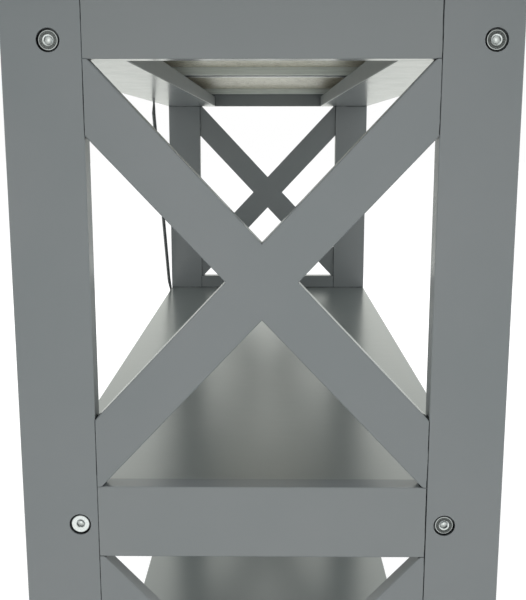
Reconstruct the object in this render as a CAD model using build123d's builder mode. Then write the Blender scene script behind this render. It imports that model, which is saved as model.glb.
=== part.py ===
"""Console table with crossed bars in its end frames, two shelves and two drawers.

Millimetres. X runs along the length, -Y is the front with the drawers, +Z is up.
The origin is on the floor, under the middle of the table.
"""

import math
import os

from build123d import *

# ---------------------------------------------------------------- overall sizes
LENGTH = 920.0  # over the outer faces of the two end frames
DEPTH = 320.0  # over the legs
BAY_HEIGHT = 277.0  # clear height of each crossed opening
FOOT_HEIGHT = 35.0  # floor to the underside of the low rail

# ---------------------------------------------------------------- end frames
BOARD_T = 15.0  # legs and rails, across the frame
LEG_WIDTH = 50.0
RAIL_HEIGHT = 50.0  # low and mid rails
APRON_HEIGHT = 95.0  # top rail of each end frame
TENON_LENGTH = 8.0
TENON_T = 5.0
TENON_SETBACK = 7.0  # outer face of the frame to the tenon's cheek
TENON_SHOULDER = 9.0  # rail's or bar's edge to the tenon's edge
EASE = 0.5  # chamfer on every painted edge

BAR_WIDTH = 34.0
BAR_T = 12.0
BAR_CORNER_STEP = 3.0  # length of the bar's end that meets the rail

# ---------------------------------------------------------------- long members
SHELF_T = 15.0
SHELF_DROP = 19.5  # rail top down to the shelf surface
LONG_RAIL_WIDTH = 75.0
LONG_RAIL_T = 15.0
LIP_T = 18.0  # outer strip of a long rail, where the bolts enter
FRONT_LIP_WIDTH = 34.0
BACK_LIP_WIDTH = 58.0
BACK_PANEL_T = 15.0
PARTITION_T = 18.0

TOP_T = 16.0
TOP_OVERHANG = 20.0
TOP_ROUND = 3.0

# ---------------------------------------------------------------- drawers
FRONT_T = 16.0
FRONT_GAP = 2.0  # around each inset front
SIDE_T = 12.0
SIDE_GAP = 4.0  # between a drawer side and the wall beside it
SIDE_LIFT = 0.8  # long rail's lip to the drawer side's lower edge
SIDE_TOP_GAP = 8.2  # drawer side's upper edge to the table top
DRAWER_BACK_GAP = 15.0  # back of the drawer box to the back panel
DRAWER_BACK_DROP = 6.8  # sides' upper edges to the back's upper edge
BOTTOM_T = 3.0
BOTTOM_RISE = 8.2  # side's lower edge to the hardboard's underside
BOTTOM_GROOVE = 6.0
RUNNER_HEIGHT = 12.0
RUNNER_T = 9.5
RUNNER_RISE = 28.0  # side's lower edge to the runner's underside
RUNNER_GROOVE = 6.0
RUNNER_START = 1.0  # behind the drawer front
RUNNER_END = 11.0  # runner's end to the back of the drawer box

KNOB_REACH = 20.0
KNOB_R = 12.5
KNOB_BASE_R = 7.0
KNOB_NECK_R = 5.5
KNOB_NECK_AT = 6.0  # drawer front to the narrowest part of the neck
KNOB_RIM_AT = 11.0
KNOB_RIM_END = 17.0
KNOB_CROWN_R = 8.0
KNOB_ROUND = 2.0

# ---------------------------------------------------------------- fasteners
BOLT_R = 3.0
BOLT_LENGTH = 50.0  # under the head
BOLT_HEAD_R = 6.5
BOLT_HEAD_H = 3.6
BOLT_HEAD_EASE = 0.8
BOLT_SOCKET = 5.0  # across the flats
BOLT_SOCKET_DEPTH = 2.6
RECESS_R = 7.3
RECESS_DEPTH = 4.4
TOP_BOLT_RISE = 11.2  # underside of the top rail to the upper bolts
FRONT_TOP_BOLT_IN = 17.2  # front face to the upper front bolt
BACK_TOP_BOLT_IN = 29.4
SHELF_BOLT_IN = 37.5

NUT_R = 5.0
NUT_LENGTH = 10.0
NUT_FROM_END = 37.0  # end of the board to the barrel nut's axis

DOWEL_R = 4.0
DOWEL_LENGTH = 30.0
DOWEL_IN_FRAME = 10.0
PANEL_DOWEL_X = 210.0  # middle of the table to the back panel's lower dowels
BAR_DOWEL_R = 3.0
BAR_DOWEL_LENGTH = 8.0

CAM_R = 7.5
CAM_DEPTH = 12.0
CAM_DROP = 24.0  # top of the frame to the cam's axis
CAM_POST_R = 3.0
CAM_POST_IN_TOP = 11.0
CAM_Y = 70.0
CAM_SLOT_LENGTH = 9.0
CAM_SLOT_WIDTH = 2.0
CAM_SLOT_DEPTH = 1.5

SCREW_R = 1.75
SCREW_HEAD_R = 3.6
SCREW_HEAD_H = 2.2
SCREW_LENGTH = 12.0
RUNNER_SCREW_SINK = 4.0  # runner's face to the screw head's seat
RUNNER_SCREW_IN = 20.0  # runner's end to the nearer screw
KNOB_SCREW_R = 2.0
KNOB_SCREW_IN_KNOB = 9.0

GLIDE_R = 6.5
GLIDE_H = 3.0
GLIDE_EASE = 1.0

# ---------------------------------------------------------------- back braces
ROD_R = 2.5
ROD_TAB_T = 1.6
ROD_TAB_WIDTH = 11.0
ROD_TOP_X = 262.0  # from the middle of the table
ROD_TOP_RISE = 9.0  # underside of the long rail to the upper screw
ROD_FOOT_IN = 8.0  # inner face of the frame to the lower screw
ROD_FLATTEN = 18.0  # length over which the rod is pressed flat
ROD_TAB_LENGTH = 10.0

# ---------------------------------------------------------------- clearances
TENON_FIT = 0.1
BOLT_FIT = 0.3
NUT_FIT = 0.1
CAM_FIT = 0.1
RUNNER_FIT = 0.3
BOTTOM_FIT = 0.1
DOWEL_END_FIT = 0.5

# ---------------------------------------------------------------- levels and places
HALF_LENGTH = LENGTH / 2
HALF_DEPTH = DEPTH / 2
INNER_X = HALF_LENGTH - BOARD_T
OPENING_WIDTH = DEPTH - 2 * LEG_WIDTH
LEG_Y = HALF_DEPTH - LEG_WIDTH / 2

LOW_RAIL_Z = FOOT_HEIGHT
LOW_BAY_Z = LOW_RAIL_Z + RAIL_HEIGHT
MID_RAIL_Z = LOW_BAY_Z + BAY_HEIGHT
TOP_BAY_Z = MID_RAIL_Z + RAIL_HEIGHT
TOP_RAIL_Z = TOP_BAY_Z + BAY_HEIGHT
FRAME_TOP_Z = TOP_RAIL_Z + APRON_HEIGHT
LIP_Z = TOP_RAIL_Z + LIP_T

LOW_SHELF_Z = LOW_BAY_Z - SHELF_DROP - SHELF_T
MID_SHELF_Z = TOP_BAY_Z - SHELF_DROP - SHELF_T
BACK_PANEL_Y = HALF_DEPTH - BACK_PANEL_T

SIDE_Z = LIP_Z + SIDE_LIFT
SIDE_HEIGHT = FRAME_TOP_Z - SIDE_TOP_GAP - SIDE_Z
BOTTOM_Z = SIDE_Z + BOTTOM_RISE
RUNNER_Z = SIDE_Z + RUNNER_RISE
FRONT_Z = LIP_Z + FRONT_GAP
FRONT_HEIGHT = FRAME_TOP_Z - LIP_Z - 2 * FRONT_GAP
FRONT_BACK_Y = -HALF_DEPTH + FRONT_T
DRAWER_END_Y = BACK_PANEL_Y - DRAWER_BACK_GAP
DRAWER_LENGTH = DRAWER_END_Y - FRONT_BACK_Y
DRAWER_BACK_HEIGHT = SIDE_Z + SIDE_HEIGHT - DRAWER_BACK_DROP - BOTTOM_Z - BOTTOM_T
RUNNER_LENGTH = DRAWER_LENGTH - RUNNER_START - RUNNER_END
STALL_INNER_X = PARTITION_T / 2
STALL_X = (STALL_INNER_X + INNER_X) / 2
STALL_WIDTH = INNER_X - STALL_INNER_X
BOX_WIDTH = STALL_WIDTH - 2 * SIDE_GAP
KNOB_Z = FRONT_Z + FRONT_HEIGHT / 2

SIDES = {"left": -1, "right": 1}
ROWS = {"front": -1, "back": 1}
RAILS = {
    "low": (LOW_RAIL_Z, RAIL_HEIGHT),
    "mid": (MID_RAIL_Z, RAIL_HEIGHT),
    "top": (TOP_RAIL_Z, APRON_HEIGHT),
}
BAYS = {"lower": LOW_BAY_Z, "upper": TOP_BAY_Z}


def bolt_rows():
    """The (y, z) places of the bolts in one end frame, from the top down."""
    places = [
        (-HALF_DEPTH + FRONT_TOP_BOLT_IN, TOP_RAIL_Z + TOP_BOLT_RISE),
        (HALF_DEPTH - BACK_TOP_BOLT_IN, TOP_RAIL_Z + TOP_BOLT_RISE),
    ]
    for shelf_z in (MID_SHELF_Z, LOW_SHELF_Z):
        for row in (-1, 1):
            places.append((row * (HALF_DEPTH - SHELF_BOLT_IN), shelf_z + SHELF_T / 2))
    return places


def bar_angle():
    """The bars' slope in degrees, set by the bay, the bar's width and its corner step."""
    corner_y = OPENING_WIDTH / 2 - BAR_CORNER_STEP
    corner_z = BAY_HEIGHT / 2
    reach = math.hypot(corner_y, corner_z)
    return math.degrees(math.atan2(corner_z, corner_y) - math.asin(BAR_WIDTH / 2 / reach))


def bar_tenon():
    """The tenon on a bar's upper end: its centre above the bay's centre, and its height."""
    angle = math.radians(bar_angle())
    lower_edge = OPENING_WIDTH / 2 * math.tan(angle) - BAR_WIDTH / 2 / math.cos(angle)
    upper_edge = BAY_HEIGHT / 2
    return (lower_edge + upper_edge) / 2, upper_edge - lower_edge - 2 * TENON_SHOULDER


def frame_x(side, thickness, setback=0.0):
    """Lowest X of a layer in an end frame, measured in from the outer face."""
    outer = HALF_LENGTH - setback
    return outer - thickness if side > 0 else -outer


def along_x(side, x, y, z):
    """A plane at a point that looks out of the table's end."""
    return Plane(origin=(x, y, z), z_dir=(side, 0, 0))


def dowel_locations(margin=0.0):
    """One location per large dowel, at its lower end, with Z along the dowel."""
    places = []
    for side in (-1, 1):
        for row in (-1, 1):
            x = side * (INNER_X + DOWEL_IN_FRAME - DOWEL_LENGTH)
            y = row * (OPENING_WIDTH / 2 - DOWEL_IN_FRAME - DOWEL_R)
            places.append(along_x(side, x, y, TOP_RAIL_Z + LONG_RAIL_T / 2))
    partition_y = -HALF_DEPTH + FRONT_LIP_WIDTH / 2
    panel_y = HALF_DEPTH - BACK_PANEL_T / 2
    for x, y in ((0, partition_y), (-PANEL_DOWEL_X, panel_y), (PANEL_DOWEL_X, panel_y)):
        places.append(Plane(origin=(x, y, LIP_Z - DOWEL_IN_FRAME)))
    for y in (partition_y, panel_y):
        places.append(Plane(origin=(0, y, FRAME_TOP_Z + DOWEL_IN_FRAME - DOWEL_LENGTH)))
    return [place.offset(-margin).location for place in places]


def cut_dowel_holes():
    """Cut every large dowel's hole out of the part that is being made."""
    with Locations(*dowel_locations(DOWEL_END_FIT)):
        Cylinder(
            DOWEL_R,
            DOWEL_LENGTH + 2 * DOWEL_END_FIT,
            align=(Align.CENTER, Align.CENTER, Align.MIN),
            mode=Mode.SUBTRACT,
        )


def bolt_seats():
    """Where each frame bolt's head sits, looking out of the table's end."""
    x = HALF_LENGTH - RECESS_DEPTH
    return [along_x(side, side * x, y, z).location for side in (-1, 1) for y, z in bolt_rows()]


def cam_post_tops():
    """Where each cam post leaves a top rail's upper edge."""
    x = INNER_X + CAM_DEPTH / 2
    return [(side * x, row * CAM_Y, FRAME_TOP_Z) for side in (-1, 1) for row in (-1, 1)]


def cam_seats():
    """The cams' faces, flush with the top rails' inner faces and with the post side up."""
    z = FRAME_TOP_Z - CAM_DROP
    planes = []
    for side in (-1, 1):
        for y in (-CAM_Y, CAM_Y):
            planes.append(Plane(origin=(side * INNER_X, y, z), x_dir=(0, -side, 0), z_dir=(-side, 0, 0)))
    return [plane.location for plane in planes]


def runner_walls():
    """The (wall X, X direction into the stall) of each runner."""
    walls = []
    for side in (-1, 1):
        walls.append((side * INNER_X, -side))
        walls.append((side * STALL_INNER_X, side))
    return walls


def runner_screw_planes(wall_x, away):
    """Planes on one runner's face at its screws, looking into the stall."""
    z = RUNNER_Z + RUNNER_HEIGHT / 2
    start = FRONT_BACK_Y + RUNNER_START
    ys = (start + RUNNER_SCREW_IN, start + RUNNER_LENGTH - RUNNER_SCREW_IN)
    return [along_x(away, wall_x + away * RUNNER_T, y, z) for y in ys]


def runner_screw_seats():
    """Where each runner screw's head sits, at the bottom of its counterbore."""
    seats = []
    for wall_x, away in runner_walls():
        for plane in runner_screw_planes(wall_x, away):
            seats.append(plane.offset(-RUNNER_SCREW_SINK).location)
    return seats


def brace_ends(side):
    """The upper and lower screw points of one back brace, on the table's back face."""
    head = Vector(side * ROD_TOP_X, HALF_DEPTH, TOP_RAIL_Z + ROD_TOP_RISE)
    foot = Vector(side * (INNER_X - ROD_FOOT_IN), HALF_DEPTH, MID_SHELF_Z + SHELF_T / 2)
    return head, foot


def brace_screw_seats():
    """Where each brace screw's head sits on its tab."""
    points = [point for side in (-1, 1) for point in brace_ends(side)]
    return [Plane(origin=point + Vector(0, ROD_TAB_T, 0), z_dir=(0, 1, 0)).location for point in points]


def cut_screw_holes(seats):
    """Cut each screw's pilot hole out of the part that is being made."""
    with Locations(*seats):
        Cylinder(
            SCREW_R,
            SCREW_LENGTH + DOWEL_END_FIT,
            align=(Align.CENTER, Align.CENTER, Align.MAX),
            mode=Mode.SUBTRACT,
        )


def save(piece, name):
    """Label a finished piece and write it to its own file."""
    piece.part.label = name
    export_step(piece.part, f"parts/{name}.step")


# ---------------------------------------------------------------- end frames
def tenon_levels():
    """The (centre Z, height) of every tenon that enters a leg."""
    levels = [(rail_z + height / 2, height - 2 * TENON_SHOULDER) for rail_z, height in RAILS.values()]
    rise, height = bar_tenon()
    for bay_z in BAYS.values():
        for end in (-1, 1):
            levels.append((bay_z + BAY_HEIGHT / 2 + end * rise, height))
    return levels


def make_leg(side, row):
    """One upright board of an end frame, mortised, and recessed for its three bolts."""
    x = frame_x(side, BOARD_T)
    with BuildPart() as leg:
        with BuildSketch(Plane.YZ.offset(x)):
            with Locations((row * LEG_Y, GLIDE_H)):
                Rectangle(LEG_WIDTH, FRAME_TOP_Z - GLIDE_H, align=(Align.CENTER, Align.MIN))
        extrude(amount=BOARD_T)
        chamfer(leg.edges().filter_by(Axis.Z), EASE)
        # bolt recesses in the outer face
        bolts = [(y, z) for y, z in bolt_rows() if y * row > 0]
        with Locations(*[along_x(side, side * HALF_LENGTH, y, z) for y, z in bolts]):
            CounterBoreHole(BOLT_R + BOLT_FIT, RECESS_R, RECESS_DEPTH)
        # mortises for the tenons of the rails and the bars
        mortise_t = TENON_T + TENON_FIT
        with BuildSketch(Plane.YZ.offset(frame_x(side, mortise_t, TENON_SETBACK - TENON_FIT / 2))):
            for centre_z, height in tenon_levels():
                with Locations((0, centre_z)):
                    Rectangle(OPENING_WIDTH + 2 * (TENON_LENGTH + TENON_FIT), height + 2 * TENON_FIT)
        extrude(amount=mortise_t, mode=Mode.SUBTRACT)
        cut_screw_holes(runner_screw_seats())
    return leg


def make_end_rail(side, rail_z, height, is_top):
    """One cross rail of an end frame, with a stub tenon at each end."""
    x = frame_x(side, BOARD_T)
    with BuildPart() as rail:
        with BuildSketch(Plane.YZ.offset(x)):
            with Locations((0, rail_z + height / 2)):
                Rectangle(OPENING_WIDTH, height)
        extrude(amount=BOARD_T)
        chamfer(rail.edges().filter_by(Axis.Y), EASE)
        with BuildSketch(Plane.YZ.offset(frame_x(side, TENON_T, TENON_SETBACK))):
            with Locations((0, rail_z + height / 2)):
                Rectangle(OPENING_WIDTH + 2 * TENON_LENGTH, height - 2 * TENON_SHOULDER)
        extrude(amount=TENON_T)
        if is_top:
            cut_dowel_holes()
            # cam housings in the inner face, and the way down to them for the posts
            cam_z = FRAME_TOP_Z - CAM_DROP
            with Locations(*[along_x(-side, side * INNER_X, y, cam_z) for y in (-CAM_Y, CAM_Y)]):
                Hole(CAM_R + CAM_FIT, CAM_DEPTH)
            post_x = side * (INNER_X + CAM_DEPTH / 2)
            with Locations(*[Location((post_x, y, FRAME_TOP_Z)) for y in (-CAM_Y, CAM_Y)]):
                Hole(CAM_POST_R + CAM_FIT, CAM_DROP)
            cut_screw_holes(runner_screw_seats())
    return rail


def bar_dowel_locations(side):
    """The centres of the blind dowels that pin the halved bars together, with Z along X."""
    x = side * (HALF_LENGTH - BAR_T / 2)
    return [along_x(1, x, 0, bay_z + BAY_HEIGHT / 2).location for bay_z in BAYS.values()]


def make_bar(side, bay_z, lean, outer_half):
    """One diagonal bar, halved where it crosses the other and tenoned into the legs.

    lean is +1 when the bar climbs towards the back; outer_half says which half of
    the thickness runs on through the crossing.
    """
    x = frame_x(side, BAR_T)
    kept_x = frame_x(side, BAR_T / 2) if outer_half else frame_x(side, BAR_T / 2, BAR_T / 2)
    cut_x = frame_x(side, BAR_T / 2, BAR_T / 2) if outer_half else frame_x(side, BAR_T / 2)
    centre_z = bay_z + BAY_HEIGHT / 2
    slope = lean * bar_angle()
    strip = math.hypot(OPENING_WIDTH, BAY_HEIGHT) + 2 * BAR_WIDTH
    with BuildPart() as bar:
        with BuildSketch(Plane.YZ.offset(x)):
            with Locations((0, centre_z)):
                Rectangle(strip, BAR_WIDTH, rotation=slope)
        extrude(amount=BAR_T)
        chamfer(bar.edges().sort_by(SortBy.LENGTH)[-4:], EASE)
        # the halving: a notch as wide as the other bar
        with BuildSketch(Plane.YZ.offset(cut_x)):
            with Locations((0, centre_z)):
                Rectangle(strip, BAR_WIDTH, rotation=-slope)
        extrude(amount=BAR_T / 2, mode=Mode.SUBTRACT)
        # square edges on the half that is left, so that the faces close up flush
        with BuildSketch(Plane.YZ.offset(kept_x)):
            with Locations((0, centre_z)):
                Rectangle(strip, BAR_WIDTH, rotation=slope)
                Rectangle(strip, BAR_WIDTH, rotation=-slope, mode=Mode.INTERSECT)
        extrude(amount=BAR_T / 2)
        # ends cut to the legs and rails
        with BuildSketch(Plane.YZ.offset(x)):
            with Locations((0, centre_z)):
                Rectangle(OPENING_WIDTH, BAY_HEIGHT)
        extrude(amount=BAR_T, mode=Mode.INTERSECT)
        # barefaced tenons, flush with the bar's inner face
        rise, tenon_height = bar_tenon()
        with BuildSketch(Plane.YZ.offset(frame_x(side, TENON_T, TENON_SETBACK))):
            for end in (-1, 1):
                with Locations((end * (OPENING_WIDTH + TENON_LENGTH) / 2, centre_z + end * lean * rise)):
                    Rectangle(TENON_LENGTH, tenon_height)
        extrude(amount=TENON_T)
        with Locations(*bar_dowel_locations(side)):
            Cylinder(BAR_DOWEL_R, BAR_DOWEL_LENGTH + DOWEL_END_FIT, mode=Mode.SUBTRACT)
    return bar


# ---------------------------------------------------------------- long members
def nut_plane(side, y, z):
    """The level plane through a bolt's axis at its barrel nut."""
    return Plane(origin=(side * (INNER_X - NUT_FROM_END), y, z), z_dir=(0, 0, 1))


def drill_board_ends(bolts, open_face_z):
    """Cut the bolt holes and barrel nut holes at both ends of the board in hand."""
    bolt_in_board = BOLT_LENGTH - (BOARD_T - RECESS_DEPTH)
    for side in (-1, 1):
        for y, z in bolts:
            with Locations(along_x(side, side * INNER_X, y, z)):
                Hole(BOLT_R + BOLT_FIT, bolt_in_board + DOWEL_END_FIT)
            hidden_z = z + math.copysign(NUT_LENGTH / 2, z - open_face_z)
            hole = Plane(origin=nut_plane(side, y, open_face_z).origin, z_dir=(0, 0, open_face_z - z))
            with Locations(hole):
                Hole(NUT_R + NUT_FIT, abs(open_face_z - hidden_z))


def make_shelf(shelf_z):
    """One shelf board between the end frames, bolted through its ends."""
    with BuildPart() as shelf:
        with BuildSketch(Plane.XY.offset(shelf_z)):
            Rectangle(2 * INNER_X, DEPTH)
        extrude(amount=SHELF_T)
        chamfer(shelf.edges().filter_by(Axis.X), EASE)
        bolts = [(row * (HALF_DEPTH - SHELF_BOLT_IN), shelf_z + SHELF_T / 2) for row in (-1, 1)]
        drill_board_ends(bolts, shelf_z)
        if shelf_z == MID_SHELF_Z:
            cut_screw_holes(brace_screw_seats())
    return shelf


def make_long_rail(row, lip_width):
    """One flat rail under the drawers, with a thicker outer strip for its bolts."""
    with BuildPart() as rail:
        with BuildSketch(Plane.YZ.offset(-INNER_X)) as profile:
            with BuildLine():
                Polyline(
                    (row * HALF_DEPTH, TOP_RAIL_Z),
                    (row * (HALF_DEPTH - LONG_RAIL_WIDTH), TOP_RAIL_Z),
                    (row * (HALF_DEPTH - LONG_RAIL_WIDTH), TOP_RAIL_Z + LONG_RAIL_T),
                    (row * (HALF_DEPTH - lip_width), TOP_RAIL_Z + LONG_RAIL_T),
                    (row * (HALF_DEPTH - lip_width), LIP_Z),
                    (row * HALF_DEPTH, LIP_Z),
                    close=True,
                )
            make_face()
            chamfer(profile.vertices().group_by(Axis.Y)[0] + profile.vertices().group_by(Axis.Y)[-1], EASE)
        extrude(amount=2 * INNER_X)
        bolts = [(y, z) for y, z in bolt_rows() if y * row > 0 and z > TOP_RAIL_Z]
        drill_board_ends(bolts, LIP_Z)
        cut_dowel_holes()
        if row > 0:
            cut_screw_holes(brace_screw_seats())
    return rail


os.makedirs("parts", exist_ok=True)

for side_name, side in SIDES.items():
    for row_name, row in ROWS.items():
        save(make_leg(side, row), f"{side_name}_{row_name}_leg")
    for rail_name, (rail_z, height) in RAILS.items():
        rail = make_end_rail(side, rail_z, height, rail_name == "top")
        save(rail, f"{side_name}_{rail_name}_rail")
    for bay_name, bay_z in BAYS.items():
        save(make_bar(side, bay_z, -1, True), f"{side_name}_{bay_name}_front_bar")
        save(make_bar(side, bay_z, 1, False), f"{side_name}_{bay_name}_back_bar")

save(make_shelf(MID_SHELF_Z), "mid_shelf")
save(make_shelf(LOW_SHELF_Z), "low_shelf")
save(make_long_rail(-1, FRONT_LIP_WIDTH), "front_long_rail")
save(make_long_rail(1, BACK_LIP_WIDTH), "back_long_rail")

# The back panel stands on the back long rail and closes the drawers' space.
with BuildPart() as back_panel:
    with BuildSketch(Plane.XY.offset(LIP_Z)):
        with Locations((0, BACK_PANEL_Y + BACK_PANEL_T / 2)):
            Rectangle(2 * INNER_X, BACK_PANEL_T)
    extrude(amount=FRAME_TOP_Z - LIP_Z)
    chamfer(back_panel.faces().sort_by(Axis.Y)[-1].edges().filter_by(Axis.X), EASE)
    cut_dowel_holes()
save(back_panel, "back_panel")

# The partition divides the drawers' space; its front edge shows between the fronts.
with BuildPart() as centre_partition:
    with BuildSketch(Plane.XY.offset(LIP_Z)):
        with Locations((0, (BACK_PANEL_Y - HALF_DEPTH) / 2)):
            Rectangle(PARTITION_T, BACK_PANEL_Y + HALF_DEPTH)
    extrude(amount=FRAME_TOP_Z - LIP_Z)
    chamfer(centre_partition.faces().sort_by(Axis.Y)[0].edges().filter_by(Axis.Z), EASE)
    cut_dowel_holes()
    cut_screw_holes(runner_screw_seats())
save(centre_partition, "centre_partition")

# The top overhangs the frames all round; posts and dowels enter it from below.
with BuildPart() as table_top:
    with BuildSketch(Plane.XY.offset(FRAME_TOP_Z)):
        Rectangle(LENGTH + 2 * TOP_OVERHANG, DEPTH + 2 * TOP_OVERHANG)
    extrude(amount=TOP_T)
    fillet(table_top.edges().filter_by(Axis.Z), TOP_ROUND)
    fillet(table_top.faces().sort_by(Axis.Z)[-1].edges(), TOP_ROUND)
    chamfer(table_top.faces().sort_by(Axis.Z)[0].edges(), EASE)
    with Locations(*[Plane(origin=place, z_dir=(0, 0, -1)) for place in cam_post_tops()]):
        Hole(CAM_POST_R, CAM_POST_IN_TOP)
    cut_dowel_holes()
save(table_top, "table_top")


# ---------------------------------------------------------------- drawer runners
def make_runner(wall_x, away):
    """One hardwood runner screwed to a wall; away is the X direction into the stall."""
    x = wall_x + away * RUNNER_T / 2
    y = FRONT_BACK_Y + RUNNER_START
    with BuildPart() as runner:
        with BuildSketch(Plane.XZ.offset(-y)):
            with Locations((x, RUNNER_Z + RUNNER_HEIGHT / 2)):
                Rectangle(RUNNER_T, RUNNER_HEIGHT)
        extrude(amount=-RUNNER_LENGTH)
        nose = runner.faces().sort_by(Axis.X)[-1 if away > 0 else 0]
        chamfer(nose.edges().filter_by(Axis.Y), EASE)
        with Locations(*runner_screw_planes(wall_x, away)):
            CounterBoreHole(SCREW_R, SCREW_HEAD_R, RUNNER_SCREW_SINK)
    return runner


for side_name, side in SIDES.items():
    save(make_runner(side * INNER_X, -side), f"{side_name}_outer_runner")
    save(make_runner(side * STALL_INNER_X, side), f"{side_name}_inner_runner")


# ---------------------------------------------------------------- drawers
def make_drawer_front(side):
    """One inset drawer front, grooved for the hardboard bottom."""
    with BuildPart() as front:
        with BuildSketch(Plane.XZ.offset(HALF_DEPTH)):
            with Locations((side * STALL_X, FRONT_Z + FRONT_HEIGHT / 2)):
                Rectangle(STALL_WIDTH - 2 * FRONT_GAP, FRONT_HEIGHT)
        extrude(amount=-FRONT_T)
        chamfer(front.faces().sort_by(Axis.Y)[0].edges(), EASE)
        with BuildSketch(Plane.XZ.offset(-FRONT_BACK_Y)):
            with Locations((side * STALL_X, BOTTOM_Z + BOTTOM_T / 2)):
                Rectangle(BOX_WIDTH - 2 * (SIDE_T - BOTTOM_GROOVE), BOTTOM_T + 2 * BOTTOM_FIT)
        extrude(amount=BOTTOM_GROOVE, mode=Mode.SUBTRACT)
        with Locations(Plane(origin=(side * STALL_X, -HALF_DEPTH, KNOB_Z), z_dir=(0, -1, 0))):
            Hole(KNOB_SCREW_R + BOLT_FIT)
    return front


def make_drawer_side(side, x, outward):
    """One drawer side; outward is the X direction of its runner groove."""
    with BuildPart() as board:
        with BuildSketch(Plane.XZ.offset(-FRONT_BACK_Y)):
            with Locations((x, SIDE_Z + SIDE_HEIGHT / 2)):
                Rectangle(SIDE_T, SIDE_HEIGHT)
            with Locations((x + outward * (SIDE_T - RUNNER_GROOVE) / 2, RUNNER_Z + RUNNER_HEIGHT / 2)):
                Rectangle(RUNNER_GROOVE, RUNNER_HEIGHT + 2 * RUNNER_FIT, mode=Mode.SUBTRACT)
            with Locations((x - outward * (SIDE_T - BOTTOM_GROOVE) / 2, BOTTOM_Z + BOTTOM_T / 2)):
                Rectangle(BOTTOM_GROOVE, BOTTOM_T + 2 * BOTTOM_FIT, mode=Mode.SUBTRACT)
        extrude(amount=-DRAWER_LENGTH)
        chamfer(board.faces().sort_by(Axis.Z)[-1].edges().filter_by(Axis.Y), EASE)
    return board


def make_drawer_back(side):
    """The back of one drawer box, standing on the hardboard bottom."""
    with BuildPart() as back:
        with BuildSketch(Plane.XZ.offset(-DRAWER_END_Y)):
            with Locations((side * STALL_X, BOTTOM_Z + BOTTOM_T)):
                Rectangle(BOX_WIDTH - 2 * SIDE_T, DRAWER_BACK_HEIGHT, align=(Align.CENTER, Align.MIN))
        extrude(amount=SIDE_T)
        chamfer(back.faces().sort_by(Axis.Z)[-1].edges().filter_by(Axis.X), EASE)
    return back


def make_drawer_bottom(side):
    """The raw hardboard bottom, let into the front and both sides."""
    front_y = FRONT_BACK_Y - BOTTOM_GROOVE + BOTTOM_FIT
    with BuildPart() as bottom:
        with BuildSketch(Plane.XY.offset(BOTTOM_Z)):
            with Locations((side * STALL_X, (front_y + DRAWER_END_Y) / 2)):
                Rectangle(BOX_WIDTH - 2 * (SIDE_T - BOTTOM_GROOVE + BOTTOM_FIT), DRAWER_END_Y - front_y)
        extrude(amount=BOTTOM_T)
    return bottom


def make_knob(side):
    """One turned knob, threaded for the screw through the drawer front."""
    x = side * STALL_X
    face_y = -HALF_DEPTH
    with BuildPart() as knob:
        with BuildSketch(Plane.XY.offset(KNOB_Z)) as profile:
            with BuildLine():
                Polyline(
                    (x, face_y),
                    (x + KNOB_BASE_R, face_y),
                    (x + KNOB_NECK_R, face_y - KNOB_NECK_AT),
                    (x + KNOB_R, face_y - KNOB_RIM_AT),
                    (x + KNOB_R, face_y - KNOB_RIM_END),
                    (x + KNOB_CROWN_R, face_y - KNOB_REACH),
                    (x, face_y - KNOB_REACH),
                    close=True,
                )
            make_face()
            fillet(profile.vertices().group_by(Axis.X)[-1], KNOB_ROUND)
        revolve(axis=Axis((x, 0, KNOB_Z), (0, 1, 0)))
        with Locations(Plane(origin=(x, face_y, KNOB_Z), z_dir=(0, 1, 0))):
            Hole(KNOB_SCREW_R, KNOB_SCREW_IN_KNOB)
    return knob


def make_knob_screw(side):
    """The pan-head screw that holds a knob from inside the drawer."""
    with BuildPart() as screw:
        with BuildSketch(Plane.XZ.offset(-FRONT_BACK_Y)):
            with Locations((side * STALL_X, KNOB_Z)):
                Circle(SCREW_HEAD_R)
        extrude(amount=-SCREW_HEAD_H)
        with BuildSketch(Plane.XZ.offset(-FRONT_BACK_Y)):
            with Locations((side * STALL_X, KNOB_Z)):
                Circle(KNOB_SCREW_R)
        extrude(amount=FRONT_T + KNOB_SCREW_IN_KNOB)
    return screw


for side_name, side in SIDES.items():
    drawer = f"{side_name}_drawer"
    save(make_drawer_front(side), f"{drawer}_front")
    outer_x = side * (INNER_X - SIDE_GAP - SIDE_T / 2)
    inner_x = side * (STALL_INNER_X + SIDE_GAP + SIDE_T / 2)
    save(make_drawer_side(side, outer_x, side), f"{drawer}_outer_side")
    save(make_drawer_side(side, inner_x, -side), f"{drawer}_inner_side")
    save(make_drawer_back(side), f"{drawer}_back")
    save(make_drawer_bottom(side), f"{drawer}_bottom")
    save(make_knob(side), f"{drawer}_knob")
    save(make_knob_screw(side), f"{drawer}_knob_screw")


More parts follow.
